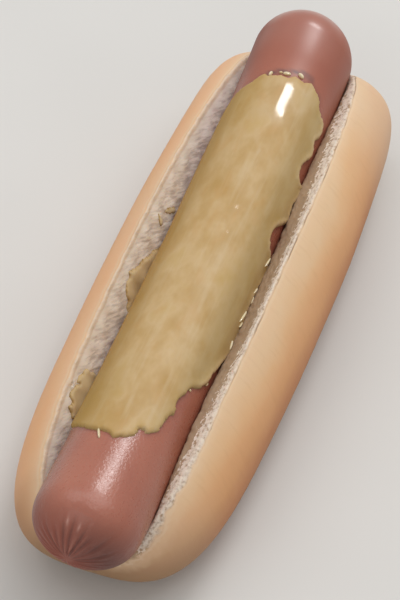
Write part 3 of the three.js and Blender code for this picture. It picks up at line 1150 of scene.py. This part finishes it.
def crumb_colour(finish, near_end):
    """Pale, duller by the lips, torn on the right, with painted shade in wrinkles, pits and
    depths.
    """
    hollow = finish.read("hollow")
    deep = finish.read("deep")
    right = finish.level("X", -2, 2)
    wrinkle_shade = finish.noise(0.6, 0.3, 1.7, detail=3.0, roughness=0.5, slant=WRINKLE_ANGLE)
    wrinkle_shade = finish.step(hollow * 0.25 + wrinkle_shade + deep * 0.14, 0.6, 0.9)
    specks = finish.noise(1.4, 1.0, 1.4, detail=3.0, roughness=0.6)
    by_lip = 1 - finish.step(deep, 0.1, 0.75)
    crest = 1 - finish.step(deep, 0.0, 0.12)
    ragged = finish.step(specks + hollow * 0.25, 0.5, 0.72)
    shaded = finish.step(deep + (specks - 0.5) * 2.2, 0.2, 0.36)
    left = 1 - right
    return finish.over(
        "fdefe0",
        (by_lip * (0.1 + right * 0.35), "d6c2ae"),
        # Painted light: the left wall is lightened towards the far end.
        (finish.level("Y", 5, 45) * left * 0.5, "fdefe6"),
        (crest * left * 0.75, "dcbfa2"),
        # Painted shade in the left wall's wrinkles and dips, more of it deeper down.
        (wrinkle_shade * left * (0.46 - by_lip * 0.25), "a18c7d"),
        # Torn specks on the right, darker where the crumb dips: partly painted shade.
        (ragged * right * (0.18 + by_lip * 0.2 + near_end * 0.25), "a68870"),
        # Painted shade deeper down the right wall, with a torn border.
        (shaded * right * 0.95, "b09376"),
    )


def bread_finish():
    finish = Finish("soft_bread", Subsurface_Weight=0.22, Subsurface_Scale=0.003,
                    Subsurface_Radius=(1.0, 0.75, 0.5), Specular_IOR_Level=0.2)
    crumb = finish.read("crumb")
    near_end = finish.level("Y", -48, -68)
    crust = crust_colour(finish, near_end)
    finish.feed("Base Color", finish.mix(crumb, crust, crumb_colour(finish, near_end)))
    finish.feed("Roughness", 0.58 + crumb * 0.35)
    pores = finish.noise(1.8, 1.8, 1.8, detail=4.0, roughness=0.6)
    grain = finish.bump(pores, 0.1, 0.2)
    torn = finish.noise(0.7, 0.35, 1.8, detail=3.0, roughness=0.55, slant=WRINKLE_ANGLE)
    finish.feed("Normal", finish.bump(torn * crumb, 0.35, 0.3, below=grain))
    return finish.material


def skin_finish():
    """Moist skin with a streak of soft light, darker far, and painted shade on flanks and
    gathered end.
    """
    finish = Finish("sausage_skin", Subsurface_Weight=0.12, Subsurface_Scale=0.0015,
                    Subsurface_Radius=(1.0, 0.35, 0.25), Specular_IOR_Level=0.6,
                    Coat_Roughness=0.28)
    mottling = finish.noise(0.1, 0.06, 0.1, detail=3.0)
    far = finish.level("Y", 48, 62)
    flank = finish.read("flank")
    gathered = finish.read("gathered")
    folds = finish.read("fold")
    finish.feed("Base Color", finish.over(
        finish.ramp(mottling, (0.3, "ad6854"), (0.5, "b36e59"), (0.72, "b9745e")),
        (far * 0.4, "98523f"),
        # Painted shade down the flanks, less of it on the right.
        (flank * (0.85 - finish.level("X", 0, 6) * 0.5), "752f1a"),
        # Painted shade on the gathered end, darkest on its right.
        (gathered * 0.75, "883c28"),
        (gathered * finish.level("X", -3, 9) * 0.75, "46170e"),
        # Painted light and shade: fold ridges lighter, grooves darker, and the two glint ridges
        # paler.
        (finish.step(folds * -1, 0.0, 0.14) * 0.4, "b47764"),
        (finish.step(folds, 0.03, 0.3) * 0.55, "5c3027"),
        (finish.read("glint") * 0.6, "d9a596"),
        # Painted shade on the skin beside the mustard's edge.
        (finish.read("beside_mustard") * 0.4, "7c4c46"),
        (finish.read("film") * 0.8, "584244"),
    ))
    fine = finish.noise(1.1, 0.8, 1.1, detail=2.0, roughness=0.6)
    taut = 1 - far * 0.9
    finish.feed("Roughness", 0.2 + fine * taut * 0.2 + gathered * 0.2 + far * 0.27)
    near = finish.level("Y", -50, -56) * (1 - gathered) * 0.3
    crown = 1 - finish.step(flank, 0.05, 0.6)
    finish.feed("Coat Weight", (near + finish.level("Y", 60, 69)) * crown)
    crazed = finish.noise(1.8, 1.3, 1.8, detail=1.0)
    pores = finish.bump(fine * taut, 0.15, 0.3)
    finish.feed("Normal", finish.bump(crazed * taut, 0.38, 0.2, below=pores))
    return finish.material


def mustard_finish():
    """Dull yellow, streaked along the sausage, ochre on its left, wet in places, with painted
    light and shade by its edges.
    """
    finish = Finish("mustard", Subsurface_Weight=0.1, Subsurface_Scale=0.0012,
                    Subsurface_Radius=(1.0, 0.75, 0.25), Coat_Roughness=0.11,
                    Specular_IOR_Level=0.3)
    patches = finish.noise(0.16, 0.09, 0.16, detail=3.0)
    body = finish.ramp(
        patches, (0.28, "be995e"), (0.43, "c5a26c"), (0.57, "cfb080"), (0.72, "caa971"),
        (0.85, "c29d5d"),
    )
    streaks = finish.noise(0.5, 0.035, 0.5, detail=3.0)
    orange = finish.noise(0.3, 0.14, 0.3, detail=2.0, distortion=0.4)
    turn = finish.read("turn")
    ends = finish.level("Y", 28, 46) + finish.level("Y", -30, -46)
    edge = finish.read("from_edge")
    lobes = finish.step(turn, 0.85, 1.15) * (1 - finish.step(edge, 0.6, 1.9))
    finish.feed("Base Color", finish.over(
        body,
        (finish.step(streaks, 0.48, 0.72) * 0.35, "d8c19b"),
        (finish.step(orange, 0.52, 0.72) * 0.3, "ca9d61"),
        (finish.step(turn, -0.4, -0.85) * 0.6, "a67c24"),
        (finish.step(turn, 0.0, -0.45) * ends * 0.42, "ac8636"),
        (finish.step(turn, 0.4, 1.05) * 0.5, "a9935f"),
        ((1 - finish.step(edge, 0.2, 1.8)) * 0.2, "bd994f"),
        # Painted light: the lobes along the right edge are paler.
        (lobes * 0.55, "dcc298"),
        # A dark line at the edge: partly the mustard's browner rim, partly painted shade under
        # it.
        ((1 - finish.step(edge, 0.0, 0.25)) * 0.45, "7a6540"),
        # Pale drops; on the right flank's beads a painted highlight, and on the smears painted
        # light.
        (finish.read("pale"), "f2e2bc"),
    ))
    finish.feed("Roughness", 0.45 + patches * 0.2)
    spots = finish.step(finish.noise(0.35, 0.2, 0.35, detail=1.0), 0.58, 0.75)
    finish.feed("Coat Weight", finish.read("wet") * 0.8 + spots * 0.06)
    grain = finish.noise(0.9, 0.5, 0.9, detail=3.0)
    finish.feed("Normal", finish.bump(grain, 0.04, 0.3))
    return finish.material


def floor_finish():
    finish = Finish("pale_floor", Roughness=0.8)
    mottling = finish.noise(0.01, 0.01, 0.01, detail=2.0)
    finish.feed("Base Color", finish.ramp(mottling, (0.3, "dcdad6"), (0.7, "e2e0dc")))
    return finish.material


# ---------------------------------------------------- studio and camera

CAMERA_AZIMUTH = 19.585
CAMERA_ELEVATION = 50.0
CAMERA_DISTANCE = 663.0

# The camera aims at this place, moved a little right and up as the camera sees it.
CAMERA_TARGET = Vector((-0.33, -4.12, 20.9))
CAMERA_SHIFT_RIGHT = 0.79
CAMERA_SHIFT_UP = 1.85
CAMERA_LENS = 179.0

# Each softbox: azimuth, elevation, distance, width and length in metres, and power.
SOFTBOXES = {
    "overhead": (40, 68, 1.5, 1.22, 1.22, 6.2),
    "front_fill": (190, 35, 1.3, 1.0, 0.8, 1.5),
    "left_fill": (-75, 62, 1.5, 0.8, 0.8, 2.2),
    "back_strip": (12, 46, 1.0, 0.3, 0.09, 2.1),
}
SURROUND_STRENGTH = 0.44


def direction(azimuth, elevation):
    """A direction, with azimuth 0 along +Y and 90 along +X."""
    a, e = math.radians(azimuth), math.radians(elevation)
    return Vector((math.sin(a) * math.cos(e), math.cos(a) * math.cos(e), math.sin(e)))


def set_camera():
    back = direction(180 - CAMERA_AZIMUTH, CAMERA_ELEVATION)
    a = math.radians(CAMERA_AZIMUTH)
    right = Vector((math.cos(a), math.sin(a), 0))
    up = back.cross(right)
    aim = CAMERA_TARGET + CAMERA_SHIFT_RIGHT * right + CAMERA_SHIFT_UP * up
    bpy.ops.object.camera_add(location=(aim + CAMERA_DISTANCE * back) * MM)
    camera = named("camera")
    camera.rotation_mode = "QUATERNION"
    camera.rotation_quaternion = (-back).to_track_quat("-Z", "Y")
    camera.data.sensor_width = 36
    camera.data.lens = CAMERA_LENS
    camera.data.clip_start = 0.01
    camera.data.clip_end = 10
    bpy.context.scene.camera = camera


def add_softbox(name, azimuth, elevation, distance, width, length, power):
    towards = direction(azimuth, elevation)
    bpy.ops.object.light_add(type="AREA", location=towards * distance)
    light = named(name)
    light.rotation_mode = "QUATERNION"
    light.rotation_quaternion = towards.to_track_quat("Z", "Y")
    light.data.shape = "RECTANGLE"
    light.data.size = width
    light.data.size_y = length
    light.data.energy = power


def light_studio():
    for name, values in SOFTBOXES.items():
        add_softbox(name, *values)
    world = bpy.data.worlds.new("studio")
    world.use_nodes = True
    background = world.node_tree.nodes["Background"]
    background.inputs["Color"].default_value = (1, 1, 1, 1)
    background.inputs["Strength"].default_value = SURROUND_STRENGTH
    bpy.context.scene.world = world
    bpy.context.scene.view_settings.view_transform = "Standard"


def lay_floor():
    start_afresh()
    bpy.ops.mesh.primitive_plane_add(size=4)
    floor = named("floor")
    floor.data.materials.append(floor_finish())


# --------------------------------------------------------------- object


def finish_piece(piece, material, node):
    piece.data.materials.clear()
    piece.data.materials.append(material)
    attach(piece, "root")
    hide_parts(node)


start_afresh()
finish_piece(make_bun(), bread_finish(), "bun")
finish_piece(make_sausage(), skin_finish(), "sausage")
mustard = mustard_finish()
finish_piece(make_mustard(), mustard, "mustard")
for name, border in WALL_SMEARS.items():
    finish_piece(make_smear(name, border, **SMEAR_LOOK), mustard, "mustard")
for name, border in WALL_LOOPS.items():
    finish_piece(make_smear(name, border, **LOOP_LOOK), mustard, "mustard")
finish_piece(make_beads(), mustard, "mustard")
lay_floor()
light_studio()
set_camera()
